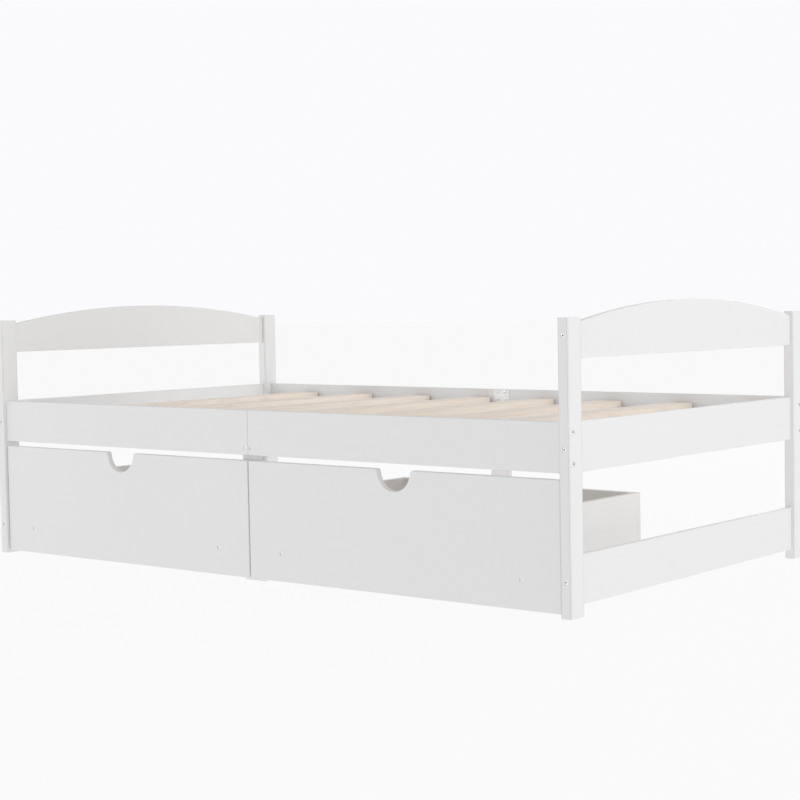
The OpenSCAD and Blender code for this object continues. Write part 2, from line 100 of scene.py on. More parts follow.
class NodeSketch:
    """Adds nodes to a tree and joins their sockets by name."""

    def __init__(self, tree: bpy.types.NodeTree) -> None:
        """Starts on an emptied tree."""
        self.tree = tree
        tree.nodes.clear()

    def add(self, kind: str, inputs: dict | None = None, **settings: object) -> bpy.types.Node:
        """Adds one node.

        Args:
            kind: the node's type name.
            inputs: values or output sockets for its inputs, by socket name or number.
            settings: properties to set on the node before its inputs.

        Returns:
            The new node.
        """
        node = self.tree.nodes.new(kind)
        for key, value in settings.items():
            setattr(node, key, value)
        for key, value in (inputs or {}).items():
            self.feed(node.inputs[key] if isinstance(key, int) else self.live(node.inputs, key), value)
        return node

    @staticmethod
    def live(sockets: Sequence[Socket], name: str = "") -> Socket:
        """Finds the socket in use, by name or else the first."""
        return next(socket for socket in sockets if socket.enabled and name in ("", socket.name))

    def feed(self, socket: Socket, value: object) -> None:
        """Sets one input, or joins it when the value is an output socket.

        Args:
            socket: the input to set.
            value: a plain value, an output socket or a list of output sockets.
        """
        if isinstance(value, Socket):
            self.tree.links.new(value, socket)
        elif isinstance(value, list):
            for output in value:
                self.tree.links.new(output, socket)
        else:
            socket.default_value = value

    def maths(self, operation: str, *values: object) -> Socket:
        """Adds a Math node."""
        return self.add("ShaderNodeMath", dict(enumerate(values)), operation=operation).outputs[0]

    def times(self, first: object, second: object) -> Socket:
        """Multiplies two numbers."""
        return self.maths("MULTIPLY", first, second)

    def vector(self, x: object = 0.0, y: object = 0.0, z: object = 0.0) -> Socket:
        """Joins three numbers to a vector."""
        return self.add("ShaderNodeCombineXYZ", {0: x, 1: y, 2: z}).outputs[0]

    def parts(self, vector: Socket) -> Sequence[Socket]:
        """Splits a vector into X, Y and Z."""
        return self.add("ShaderNodeSeparateXYZ", {0: vector}).outputs

    def blend(self, factor: object, first: object, second: object) -> Socket:
        """Mixes two colours.

        Args:
            factor: share of the second colour.
            first: colour at 0.
            second: colour at 1.

        Returns:
            The mixed colour.
        """
        node = self.add("ShaderNodeMix", data_type="RGBA")
        self.feed(node.inputs[0], factor)
        self.feed(node.inputs[6], first)
        self.feed(node.inputs[7], second)
        return node.outputs[2]

    def ramp(self, value: Socket, low: float, high: float) -> Socket:
        """Stretches the part of a value between two limits over 0 to 1."""
        return self.add("ShaderNodeMapRange", {0: value, 1: low, 2: high}).outputs[0]


class PartTree(NodeSketch):
    """Geometry node tree with named inputs that makes one kind of part."""

    def __init__(self, name: str, **sockets: str) -> None:
        """Makes the tree and its inputs.

        Args:
            name: name of the tree.
            sockets: the names of the inputs of each kind, such as Float, parted by commas.
        """
        super().__init__(bpy.data.node_groups.new(name, "GeometryNodeTree"))
        self.tree.interface.new_socket(name="Part", in_out="OUTPUT", socket_type="NodeSocketGeometry")
        for kind, labels in (*sockets.items(), ("Material", "Finish")):
            for label in labels.split(", "):
                self.tree.interface.new_socket(name=label, in_out="INPUT", socket_type="NodeSocket" + kind)
        self.given = self.add("NodeGroupInput").outputs

    def finish(self, part: Socket) -> None:
        """Ends the tree in real geometry with its finish.

        Args:
            part: the geometry to give out.
        """
        real = self.add("GeometryNodeRealizeInstances", {0: part}).outputs[0]
        dressed = self.add("GeometryNodeSetMaterial", {"Geometry": real, "Material": self.given["Finish"]})
        self.add("NodeGroupOutput", {0: dressed.outputs[0]})

    def closed(self, face: Socket, way: Sequence[float], depth: object) -> Socket:
        """Draws a flat sheet out into a closed board.

        Args:
            face: the flat sheet.
            way: direction to draw it in.
            depth: how far.

        Returns:
            The closed board.
        """
        drawn = self.add(
            "GeometryNodeExtrudeMesh",
            {"Mesh": face, "Offset": tuple(way), "Offset Scale": depth, "Individual": False},
        )
        under = self.add("GeometryNodeFlipFaces", {0: face})
        both = self.add("GeometryNodeJoinGeometry", {0: [under.outputs[0], drawn.outputs[0]]})
        merged = self.add("GeometryNodeMergeByDistance", {"Geometry": both.outputs[0], "Distance": WELD})
        return merged.outputs[0]

    def make(self, name: str, base: bpy.types.Mesh | None = None, **values: object) -> bpy.types.Object:
        """Puts the tree on a new object.

        Args:
            name: name of the object.
            base: mesh that the tree starts from, if any.
            values: value of each input, its name's spaces written as underscores.

        Returns:
            The object with its live modifier.
        """
        piece = new_object(name, base or bpy.data.meshes.new(name))
        modifier = piece.modifiers.new("part", "NODES")
        modifier.node_group = self.tree
        for item in self.tree.interface.items_tree:
            key = item.name.replace(" ", "_")
            if item.item_type == "SOCKET" and item.in_out == "INPUT" and key in values:
                modifier[item.identifier] = values[key]
        return piece


def new_object(name: str, mesh: bpy.types.Mesh) -> bpy.types.Object:
    """Links a mesh into the scene.

    Args:
        name: name of the object.
        mesh: its mesh.

    Returns:
        The new object, at the origin.
    """
    made = bpy.data.objects.new(name, mesh)
    bpy.context.scene.collection.objects.link(made)
    return made


def welded(mesh: bpy.types.Mesh) -> bmesh.types.BMesh:
    """Opens a mesh for work with its doubled corners joined.

    Args:
        mesh: the mesh, which stays as it is.

    Returns:
        The working copy.
    """
    work = bmesh.new()
    work.from_mesh(mesh)
    bmesh.ops.remove_doubles(work, verts=work.verts, dist=WELD)
    return work


def close_up(work: bmesh.types.BMesh, mesh: bpy.types.Mesh, turn_out: bool = True) -> bpy.types.Mesh:
    """Writes work back into a mesh.

    Args:
        work: the working copy, which is freed.
        mesh: the mesh to fill.
        turn_out: whether the faces are turned outwards first.

    Returns:
        The filled mesh.
    """
    if turn_out:
        bmesh.ops.recalc_face_normals(work, faces=work.faces)
    work.to_mesh(mesh)
    work.free()
    return mesh


def skin(work: bmesh.types.BMesh, rings: list, joined: bool = False) -> list[bmesh.types.BMFace]:
    """Joins rings of corners with faces.

    Args:
        work: the mesh that the corners are in.
        rings: the rings, each with the same number of corners.
        joined: whether the last ring is joined to the first.

    Returns:
        The faces, ring by ring.
    """
    count = len(rings[0])
    pairs = zip(rings, rings[1:] + rings[:1] if joined else rings[1:])
    steps = [(k, (k + 1) % count) for k in range(count)]
    return [work.faces.new((a[k], a[n], b[n], b[k])) for a, b in pairs for k, n in steps]


def settle(piece: bpy.types.Object, turn_out: bool = False) -> None:
    """Turns an object and its modifiers into one plain mesh.

    Args:
        piece: the object; its modifiers are removed.
        turn_out: whether its faces are turned outwards again.
    """
    graph = bpy.context.evaluated_depsgraph_get()
    mesh = bpy.data.meshes.new_from_object(piece.evaluated_get(graph), depsgraph=graph)
    mesh.name = piece.name
    piece.modifiers.clear()
    piece.data = mesh
    if turn_out:
        close_up(welded(mesh), mesh)


def round_edges(piece: bpy.types.Object, width: float, by_weight: bool = True) -> None:
    """Rounds a piece's edges and settles it with flats that shade as flats.

    Args:
        piece: the piece to round.
        width: width of the rounding in metres.
        by_weight: whether marked edges are rounded, or else every sharp one.
    """
    bevel = piece.modifiers.new("round_edges", "BEVEL")
    bevel.width = width
    bevel.segments = ROUNDING_FACES
    bevel.limit_method = "WEIGHT" if by_weight else "ANGLE"
    bevel.angle_limit = SHARP_EDGE
    bevel.use_clamp_overlap = False
    settle(piece)
    even_out(piece.data)


def even_out(mesh: bpy.types.Mesh, turn_deg: float = 36.0, flat_share: float = 0.008) -> None:
    """Gives every corner the normal of the flat it touches, or else the mean of its neighbours.

    Args:
        mesh: the mesh to shade.
        turn_deg: largest turn that is shaded smoothly.
        flat_share: smallest share of the whole surface that counts as a flat.
    """
    limit = math.cos(math.radians(turn_deg))
    faces = mesh.polygons
    flat_area = flat_share * sum(face.area for face in faces)
    planes = [(*(round(c, 3) for c in face.normal), round(face.normal.dot(face.center), 5)) for face in faces]
    areas: dict = {}
    round_point: dict = {}
    for face, plane in zip(faces, planes):
        face.use_smooth = True
        areas[plane] = areas.get(plane, 0.0) + face.area
        for vert in face.vertices:
            round_point.setdefault(vert, []).append(face.index)
    normals = [Vector((0.0, 0.0, 1.0))] * len(mesh.loops)
    for face in faces:
        for corner, vert in zip(face.loop_indices, face.vertices):
            near = [i for i in round_point[vert] if faces[i].normal.dot(face.normal) > limit] or [face.index]
            flat = max(near, key=lambda i: areas[planes[i]])
            if areas[planes[flat]] > flat_area:
                normals[corner] = faces[flat].normal.copy()
            else:
                normals[corner] = sum((faces[i].normal * faces[i].area for i in near), Vector()).normalized()
    mesh.normals_split_custom_set(normals)


def smooth(piece: bpy.types.Object, sharp_deg: float = 32.0) -> None:
    """Shades a piece smoothly between its sharp edges.

    Args:
        piece: the piece.
        sharp_deg: smallest angle of an edge that stays sharp.
    """
    for face in piece.data.polygons:
        face.use_smooth = True
    piece.data.set_sharp_from_angle(angle=math.radians(sharp_deg))


def solids_of(node: str) -> list[tuple[Vector, Vector]]:
    """Finds the box of each separate solid in a CAD node.

    Args:
        node: name of the node.

    Returns:
        The lowest and highest corner of each solid.
    """
    work = welded(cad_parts[node].data)
    seen: set = set()
    boxes = []
    for start in work.verts:
        if start in seen:
            continue
        seen.add(start)
        stack, found = [start], []
        while stack:
            vert = stack.pop()
            found.append(vert.co)
            for edge in vert.link_edges:
                other = edge.other_vert(vert)
                if other not in seen:
                    seen.add(other)
                    stack.append(other)
        low = Vector(min(co[i] for co in found) for i in range(3))
        high = Vector(max(co[i] for co in found) for i in range(3))
        boxes.append((low, high))
    work.free()
    return boxes


def box_of(node: str) -> tuple[Vector, Vector]:
    """Gives a CAD node's lowest and highest corner as vectors."""
    low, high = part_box(node)
    return Vector(low), Vector(high)


def long_axis(low: Vector, high: Vector) -> Axis:
    """Finds the axis along which a box is longest."""
    size = high - low
    return Axis(max(range(3), key=lambda i: size[i]))


# ------------------------------------------------------------
# Finishes

Colour = tuple[float, float, float]
Stretch = tuple[float, float]


def rgba(colour: Colour) -> tuple[float, float, float, float]:
    """Adds full opacity to a colour."""
    return (*colour, 1.0)


class SurfaceSketch(NodeSketch):
    """Adds the nodes of one finish round its surface shader."""

    def __init__(self, tree: bpy.types.NodeTree, grain: Axis) -> None:
        """Starts with a bare shader.

        Args:
            tree: the material's nodes.
            grain: the way that the grain or brushing runs.
        """
        super().__init__(tree)
        self.grain = grain
        shader = self.add("ShaderNodeBsdfPrincipled")
        self.add("ShaderNodeOutputMaterial", {"Surface": shader.outputs[0]})
        self.shader = shader.inputs

    def set(self, name: str, value: object) -> None:
        """Sets or joins one input of the shader."""
        self.feed(self.shader[name], value)

    def here(self) -> Socket:
        """Gives object coordinates."""
        return self.add("ShaderNodeTexCoord").outputs["Object"]

    def share(self, name: str) -> Socket:
        """Reads a named attribute of the mesh."""
        return self.add("ShaderNodeAttribute", attribute_name=name).outputs["Fac"]

    def stretched(
        self, along: float, across: float, where: Socket | None = None
    ) -> Socket:
        """Scales coordinates along and across the grain."""
        scale = tuple(along if axis is self.grain else across for axis in Axis)
        return self.add("ShaderNodeMapping", {"Vector": where or self.here(), "Scale": scale}).outputs[0]

    def noise(
        self, where: Socket, scale: float = 1.0, detail: float = 2.0, swirl: float = 0.0
    ) -> Socket:
        """Adds a noise pattern."""
        values = {"Vector": where, "Scale": scale, "Detail": detail, "Distortion": swirl}
        return self.add("ShaderNodeTexNoise", values).outputs[0]

    def patches(self, scale: float, detail: float = 2.0) -> Socket:
        """Adds a noise pattern that is the same size in every direction."""
        return self.noise(self.stretched(1.0, 1.0), scale, detail)

    def mixed(self, first: object, share: float, second: object) -> Socket:
        """Adds up two patterns by their shares of the whole."""
        return self.maths("MULTIPLY_ADD", first, share, self.times(second, 1.0 - share))

    def raise_by(self, *layers: tuple[Socket, float, float]) -> None:
        """Raises the surface by a few patterns.

        Args:
            layers: pattern, strength and height in metres of each layer.
        """
        normal = None
        for height, strength, distance in layers:
            node = self.add("ShaderNodeBump", {"Height": height, "Strength": strength, "Distance": distance})
            if normal:
                self.feed(node.inputs["Normal"], normal)
            normal = node.outputs[0]
        self.set("Normal", normal)


@dataclass(frozen=True)
class Finish:
    """Surface of a piece: its record slot, colours and gloss."""

    name: str
    slot: str
    light: Colour
    dark: Colour
    roughness: float

    def material(self, grain: Axis = Axis.X) -> bpy.types.Material:
        """Gives the finish as a material, made once for each grain direction.

        Args:
            grain: the way that the grain or brushing runs.

        Returns:
            The material.
        """
        label = f"{self.name}_{grain.name.lower()}"
        ready = bpy.data.materials.get(label)
        if ready:
            return ready
        made = bpy.data.materials.new(label)
        made.use_nodes = True
        sketch = SurfaceSketch(made.node_tree, grain)
        sketch.set("Roughness", self.roughness)
        self.dress(sketch)
        return made

    def tones(self, sketch: SurfaceSketch, dark_share: object) -> None:
        """Colours the surface between its light and its dark tone."""
        sketch.set("Base Color", sketch.blend(dark_share, rgba(self.light), rgba(self.dark)))

    def gloss(self, sketch: SurfaceSketch, pattern: object, swing: float) -> None:
        """Varies the roughness evenly about its middle with a pattern."""
        sketch.set("Roughness", sketch.maths("MULTIPLY_ADD", pattern, swing, self.roughness - swing / 2))

    def dress(self, sketch: SurfaceSketch) -> None:
        """Adds the nodes of this finish to a material's sketch."""
        raise NotImplementedError


@dataclass(frozen=True)
class SatinPaint(Finish):
    """Sprayed satin paint through which the wood's grain still shows a little."""

    fibre_stretch: Stretch = (5.0, 170.0)
    fibre_range: Stretch = (0.35, 0.75)
    fibre_share: float = 0.25
    fibre_height: float = 0.06 * MM
    drift_scale: float = 3.1
    peel_scale: float = 620.0
    peel_height: float = 0.02 * MM
    gloss_swing: float = 0.10

    def dress(self, sketch: SurfaceSketch) -> None:
        """Adds soft shade changes, raised grain and a fine spray texture.

        Args:
            sketch: the material's nodes.
        """
        fibres = sketch.noise(sketch.stretched(*self.fibre_stretch), detail=4.0, swirl=0.3)
        drift, peel = sketch.patches(self.drift_scale), sketch.patches(self.peel_scale)
        self.tones(sketch, sketch.mixed(sketch.ramp(fibres, *self.fibre_range), self.fibre_share, drift))
        self.gloss(sketch, fibres, self.gloss_swing)
        sketch.raise_by((fibres, 0.35, self.fibre_height), (peel, 0.25, self.peel_height))


@dataclass(frozen=True)
class PineBoard(Finish):
    """Planed pale pine: early and late wood in long bands, a few knots and fine pores."""

    late: Colour = (0.70, 0.575, 0.46)
    sideways: float = 3.7
    ring_stretch: Stretch = (0.55, 14.0)
    ring_scale: float = 2.4
    ring_count: float = 46.0
    ring_share: float = 0.30
    ring_height: float = 0.15 * MM
    ring_gloss: float = -0.12
    slat_share: float = 0.35
    pore_stretch: Stretch = (9.0, 520.0)
    pore_range: Stretch = (0.55, 0.8)
    pore_share: float = 0.25
    pore_height: float = 0.08 * MM
    knot_stretch: Stretch = (3.1, 9.0)
    knot_range: Stretch = (0.03, 0.11)
    knot_share: float = 0.5

    def dress(self, sketch: SurfaceSketch) -> None:
        """Adds growth bands that differ from slat to slat.

        Args:
            sketch: the material's nodes.
        """
        shift = sketch.share("board_shift")
        offset = sketch.vector(sketch.times(shift, self.sideways), z=shift)
        moved = sketch.add("ShaderNodeVectorMath", {0: sketch.here(), 1: offset}, operation="ADD").outputs[0]
        rings = sketch.noise(sketch.stretched(*self.ring_stretch, moved), self.ring_scale, 3.0, 0.6)
        late = sketch.ramp(sketch.maths("SINE", sketch.times(rings, self.ring_count)), 0.15, 1.0)
        pores = sketch.noise(sketch.stretched(*self.pore_stretch, moved))
        cells = {"Vector": sketch.stretched(*self.knot_stretch, moved), "Scale": 1.0}
        away = sketch.add("ShaderNodeTexVoronoi", cells).outputs["Distance"]
        wood = rgba(self.light)
        for pattern, share, tone in (
            (late, self.ring_share, self.late),
            (sketch.ramp(shift, 0.0, 1.0), self.slat_share, self.dark),
            (sketch.ramp(pores, *self.pore_range), self.pore_share, self.late),
            (sketch.maths("SUBTRACT", 1.0, sketch.ramp(away, *self.knot_range)), self.knot_share, self.late),
        ):
            wood = sketch.blend(sketch.times(pattern, share), wood, rgba(tone))
        sketch.set("Base Color", wood)
        sketch.set("Roughness", sketch.maths("MULTIPLY_ADD", late, self.ring_gloss, self.roughness))
        sketch.raise_by((late, 0.3, self.ring_height), (pores, 0.4, self.pore_height))


@dataclass(frozen=True)
class DrawerBoard(Finish):
    """Sanded board, thinly painted or bare, with faint fibres."""

    fibre_stretch: Stretch = (12.0, 240.0)
    fibre_range: Stretch = (0.3, 0.8)
    fibre_share: float = 0.5
    fibre_height: float = 0.15 * MM
    cloud_scale: float = 7.0

    def dress(self, sketch: SurfaceSketch) -> None:
        """Adds fibres and cloudy patches.

        Args:
            sketch: the material's nodes.
        """
        fibres = sketch.noise(sketch.stretched(*self.fibre_stretch), detail=4.0, swirl=0.2)
        clouds = sketch.patches(self.cloud_scale, 3.0)
        self.tones(sketch, sketch.mixed(sketch.ramp(fibres, *self.fibre_range), self.fibre_share, clouds))
        sketch.raise_by((fibres, 0.4, self.fibre_height))


@dataclass(frozen=True)
class ZincPlate(Finish):
    """Bright zinc-plated steel with fine brushing, faint cloudy patches and painted shade in its recesses."""

    metallic: float = 0.3
    # Dark tone of the painted shade in sockets, round their rims and down the head's sides.
    recess_shade: Colour = (0.09, 0.09, 0.09)
    brush_stretch: Stretch = (60.0, 2400.0)
    brush_height: float = 0.02 * MM
    cloud_scale: float = 90.0
    gloss_swing: float = 0.18

    def dress(self, sketch: SurfaceSketch) -> None:
        """Adds brushing, patches and a metal shader.

        Args:
            sketch: the material's nodes.
        """
        brushed = sketch.noise(sketch.stretched(*self.brush_stretch))
        plated = sketch.blend(sketch.patches(self.cloud_scale, 3.0), rgba(self.light), rgba(self.dark))
        sketch.set("Metallic", self.metallic)
        # Painted shade: the recess share darkens the plated colour in sockets, at their rims and down the
        # head's sides.
        sketch.set("Base Color", sketch.blend(sketch.share("recess"), plated, rgba(self.recess_shade)))
        self.gloss(sketch, brushed, self.gloss_swing)
        sketch.raise_by((brushed, 0.2, self.brush_height))


@dataclass(frozen=True)
class MouldedTread(Finish):
    """Dark moulded tread or hub with a fine matt grain and dust."""

    grain_scale: float = 900.0
    grain_height: float = 0.05 * MM
    dust_scale: float = 60.0
    dust_range: Stretch = (0.4, 0.8)

    def dress(self, sketch: SurfaceSketch) -> None:
        """Adds moulding grain and dusty patches.

        Args:
            sketch: the material's nodes.
        """
        dust = sketch.ramp(sketch.patches(self.dust_scale, 4.0), *self.dust_range)
        sketch.set("Base Color", sketch.blend(dust, rgba(self.dark), rgba(self.light)))
        sketch.raise_by((sketch.patches(self.grain_scale), 0.3, self.grain_height))


@dataclass(frozen=True)
class StudioFloor(Finish):
    """Matt floor that glows a little, so that it stays even and pale around the bed."""

    glow: float = 0.912
    cloud_scale: float = 0.6

    def dress(self, sketch: SurfaceSketch) -> None:
        """Adds a barely visible cloudiness and the glow.

        Args:
            sketch: the material's nodes.
        """
        self.tones(sketch, sketch.patches(self.cloud_scale))
        sketch.set("Emission Color", rgba((1.0, 1.0, 1.0)))
        sketch.set("Emission Strength", self.glow)
        sketch.set("Specular IOR Level", 0.0)


PAINT = SatinPaint("satin_paint", "white_paint", (0.86, 0.86, 0.86), (0.835, 0.835, 0.835), 0.42)
PINE = PineBoard("planed_pine", "pine", (0.93, 0.83, 0.745), (0.89, 0.775, 0.67), 0.55)
BOX_BOARD = DrawerBoard("drawer_board", "drawer_wood", (0.85, 0.842, 0.832), (0.82, 0.808, 0.792), 0.6)
BEECH = DrawerBoard("turned_beech", "beech", (0.66, 0.49, 0.32), (0.54, 0.38, 0.23), 0.6)
ZINC = ZincPlate("zinc_plate", "steel", (0.985, 0.985, 0.99), (0.93, 0.93, 0.94), 0.28)
BRIGHT_ZINC = ZincPlate("bright_zinc", "steel", (0.985, 0.985, 0.99), (0.95, 0.95, 0.96), 0.24, metallic=1.0)
TREAD = MouldedTread("wheel_tread", "wheel_rubber", (0.10, 0.10, 0.105), (0.035, 0.035, 0.038), 0.75)
HUB = MouldedTread("wheel_hub", "wheel_rubber", (0.24, 0.24, 0.245), (0.16, 0.16, 0.165), 0.5)
FLOOR = StudioFloor("studio_floor", "floor", (0.06, 0.06, 0.06), (0.055, 0.055, 0.055), 0.9)


# ------------------------------------------------------------
# Boards that keep the CAD shape and gain rounded edges


@dataclass
class SoftBoard:
    """One board with the CAD node's shape, its long edges rounded over."""

    node: str
    body: str
    finish: Finish
    edge: float = 1.6 * MM
    near: float = 0.05 * MM
    notch: bool = False
    notch_reach: float = 70 * MM
    margin: float = 2.4
    hair: float = 0.0001 * MM
    flat: float = math.radians(0.5)
    bend: float = math.radians(20)

    def is_outer(self, edge: bmesh.types.BMEdge, low: Vector, high: Vector) -> bool:
        """Tells whether an edge belongs to the outside of the board.

        Args:
            edge: the edge.
            low: lowest corner of the board.
            high: highest corner of the board.

        Returns:
            True for an edge of the board's outside or of its notch.
        """
        if len(edge.link_faces) != 2 or edge.calc_face_angle(0.0) < self.bend:
            return False
        shared = 0
        for i in range(3):
            for limit in (low[i], high[i]):
                if all(abs(vert.co[i] - limit) < self.near for vert in edge.verts):
                    shared += 1
        if shared >= 2:
            return True
        middle, reach = (low + high) / 2, self.notch_reach
        return self.notch and shared == 1 and all(
            vert.co.z > high.z - reach and abs(vert.co.x - middle.x) < reach for vert in edge.verts
        )

    def margins(self, low: Vector, high: Vector) -> list[tuple[Vector, Vector]]:
        """Gives the planes that part a narrow margin from the rest of each side.

        Args:
            low: lowest corner of the board.
            high: highest corner of the board.

        Returns:
            A point on each plane and its direction.
        """
        planes = []
        for i in range(3):
            way = Vector([1.0 if k == i else 0.0 for k in range(3)])
            margin = self.margin * self.edge
            if high[i] - low[i] > self.margin * margin:
                planes += [(low + way * margin, way), (high - way * margin, way)]
        if self.notch:
            across, up = Vector((1.0, 0.0, 0.0)), Vector((0.0, 0.0, 1.0))
            middle, reach = (low + high) / 2, self.notch_reach
            planes += [(middle - across * reach, across), (middle + across * reach, across)]
            planes.append((high - up * reach, up))
        return planes

    def build(self) -> bpy.types.Object:
        """Makes the board and puts it on its body.

        Returns:
            The finished piece.
        """
        low, high = box_of(self.node)
        work = welded(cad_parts[self.node].data)
        for spot, way in self.margins(low, high):
            whole = work.verts[:] + work.edges[:] + work.faces[:]
            cut = bmesh.ops.bisect_plane(work, geom=whole, dist=self.hair, plane_co=spot, plane_no=way)
            for piece in cut["geom_cut"]:
                if isinstance(piece, bmesh.types.BMEdge):
                    piece.seam = True
        bmesh.ops.dissolve_limit(
            work, angle_limit=self.flat, verts=work.verts, edges=work.edges, delimit={"SEAM"}
        )
        weight = work.edges.layers.float.new("bevel_weight_edge")
        for edge in work.edges:
            edge[weight] = 1.0 if self.is_outer(edge, low, high) else 0.0
        mesh = close_up(work, bpy.data.meshes.new(self.node + "_board"), turn_out=False)
        mesh.materials.clear()
        mesh.materials.append(self.finish.material(long_axis(low, high)))
        for face in mesh.polygons:
            face.material_index = 0
        piece = new_object(self.node + "_board", mesh)
        smooth(piece)
        round_edges(piece, self.edge)
        return put(piece, self.body, self.finish, self.node)


def put(piece: bpy.types.Object, body: str, finish: Finish, *nodes: str) -> bpy.types.Object:
    """Rides a piece on its body and hides what it stands for.

    Args:
        piece: the finished piece.
        body: the body that it moves with.
        finish: its finish; not used.
        nodes: CAD nodes that it replaces.

    Returns:
        The piece.
    """
    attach(piece, body)
    if nodes:
        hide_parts(*nodes)
    LOG.info("%s rides on %s: %d faces", piece.name, body, len(piece.data.polygons))
    return piece


# ------------------------------------------------------------
# Fasteners


@dataclass
class Fastener:
    """A turned bolt or screw whose head's outer face is at the origin and whose shank runs up."""

    head_d: float
    length: float
    shank_d: float
    drive: Drive
    head_t: float = 2.0 * MM
    dome: float = 0.3 * MM
    recess_depth: float = 1.2 * MM
    rim: float = 0.14 * MM
    hexagon_half: float = 0.17
    cross_reach: float = 0.26
    cross_half: float = 0.055
    sides: int = 32

    def recess(self, angle: float) -> float:
        """Gives the recess outline's distance from the middle.

        Args:
            angle: direction round the head.

        Returns:
            The distance in metres.
        """
        if self.drive is Drive.HEXAGON:
            sector = math.radians(60)
            return self.hexagon_half * self.head_d / math.cos((angle % sector) - sector / 2)
        reach, half = self.cross_reach * self.head_d, self.cross_half * self.head_d
        across, up = max(abs(math.cos(angle)), 1e-6), max(abs(math.sin(angle)), 1e-6)
        return max(min(reach / across, half / up), min(reach / up, half / across))

    def profile(self) -> list[tuple[float, float, float, float]]:
        """Lists the rings from the bottom of the recess to the tip of the shank.

        Returns:
            Each ring's height, radius, share of the recess outline and share of painted shade.
        """
        head, shank = self.head_d / 2, self.shank_d / 2
        # Painted shade in the socket, stronger for hexagon sockets than for cross recesses.
        socket_shade = 0.9 if self.drive is Drive.HEXAGON else 0.4
        return [
            (self.recess_depth, 0.0, 0.55, socket_shade),
            (self.recess_depth * 0.8, 0.0, 0.85, socket_shade),
            (self.rim, 0.0, 1.0, 0.6 * socket_shade),
            (0.0, 0.0, 1.12, 0.0),
            *((self.dome * step**2, head * step, 0.0, 0.0) for step in (0.66, 0.78, 0.89, 0.96)),
            (self.dome * 1.2, head, 0.0, 0.0),
            # Painted shade down the head's side and under the head, where it sits in the counterbore.
            (self.head_t, head, 0.0, 0.6),
            (self.head_t, shank, 0.0, 0.7),
            (self.length - shank, shank, 0.0, 0.0),
            (self.length, shank * 0.3, 0.0, 0.0),
        ]

    def mesh(self) -> bpy.types.Mesh:
        """Builds the fastener ring by ring.

        Returns:
            A closed mesh.
        """
        work = bmesh.new()
        rings, recess_shade = [], []
        for height, radius, share, shade_share in self.profile():
            recess_shade += [shade_share] * self.sides
            ring = []
            for step in range(self.sides):
                angle = 2 * math.pi * step / self.sides
                reach = radius + share * self.recess(angle)
                ring.append(work.verts.new((reach * math.cos(angle), reach * math.sin(angle), height)))
            rings.append(ring)
        skin(work, rings)
        work.faces.new(rings[0])
        work.faces.new(rings[-1])
        made = close_up(work, bpy.data.meshes.new("fastener"))
        # Stores the share of painted shade at every corner for the zinc finish.
        made.attributes.new("recess", "FLOAT", "POINT").data.foreach_set("value", recess_shade)
        return made


@dataclass
class FastenerRow:
    """All the fasteners of one CAD node, set head first where the node has them."""

    node: str
    body: str
    head_end: HeadEnd
    drive: Drive
    shank_d: float
    middle: Vector
    tree: ClassVar[PartTree | None] = None

    @classmethod
    def grower(cls) -> PartTree:
        """Builds the tree that sets a fastener at every point, once for all rows.

        Returns:
            The tree.
        """
        if cls.tree:
            return cls.tree
        tree = PartTree("fastener_row", Geometry="Points", Object="Fastener")
        way = tree.add("GeometryNodeInputNamedAttribute", {"Name": "way"}, data_type="FLOAT_VECTOR")
        turned = {"Vector": way.outputs["Attribute"]}
        turn = tree.add("FunctionNodeAlignRotationToVector", turned, axis="Z").outputs[0]
        one = tree.add("GeometryNodeObjectInfo", {"Object": tree.given["Fastener"], "As Instance": True})
        placed = tree.add(
            "GeometryNodeInstanceOnPoints",
            {"Points": tree.given["Points"], "Instance": one.outputs["Geometry"], "Rotation": turn},
        )
        tree.finish(placed.outputs[0])
        cls.tree = tree
        return tree

    def heads(self) -> tuple[list[Vector], list[Vector], float, float]:
        """Finds where each fastener starts and which way its shank runs.

        Returns:
            The heads' places, the shanks' directions, the head's diameter and the length.
        """
        places, ways = [], []
        head_d = length = 0.0
        for low, high in solids_of(self.node):
            axis = long_axis(low, high).value
            centre = (low + high) / 2
            sign = 1.0 if centre[axis] > self.middle[axis] else -1.0
            if self.head_end is HeadEnd.INWARD:
                sign = -sign
            if self.head_end in (HeadEnd.UP, HeadEnd.DOWN):
                sign = 1.0 if self.head_end is HeadEnd.UP else -1.0
            place = centre.copy()
            place[axis] = high[axis] if sign > 0 else low[axis]
            way = Vector((0.0, 0.0, 0.0))
            way[axis] = -sign
            places.append(place)
            ways.append(way)
            size = high - low
            length = size[axis]
            head_d = max(size[i] for i in range(3) if i != axis)
        return places, ways, head_d, length

    def build(self) -> bpy.types.Object:
        """Makes the row and puts it on its body.

        Returns:
            The finished piece.
        """
        places, ways, head_d, length = self.heads()
        points = bpy.data.meshes.new(self.node + "_points")
        points.from_pydata(places, [], [])
        flat_ways = [part for way in ways for part in way]
        points.attributes.new("way", "FLOAT_VECTOR", "POINT").data.foreach_set("vector", flat_ways)
        fastener = Fastener(head_d, length, self.shank_d, self.drive)
        pattern = new_object(self.node + "_pattern", fastener.mesh())
        finish = BRIGHT_ZINC.material()
        piece = self.grower().make(self.node + "_turned", points, Fastener=pattern, Finish=finish)
        settle(piece)
        smooth(piece)
        bpy.data.objects.remove(pattern)
        return put(piece, self.body, BRIGHT_ZINC, self.node)


# ------------------------------------------------------------
# The bed itself


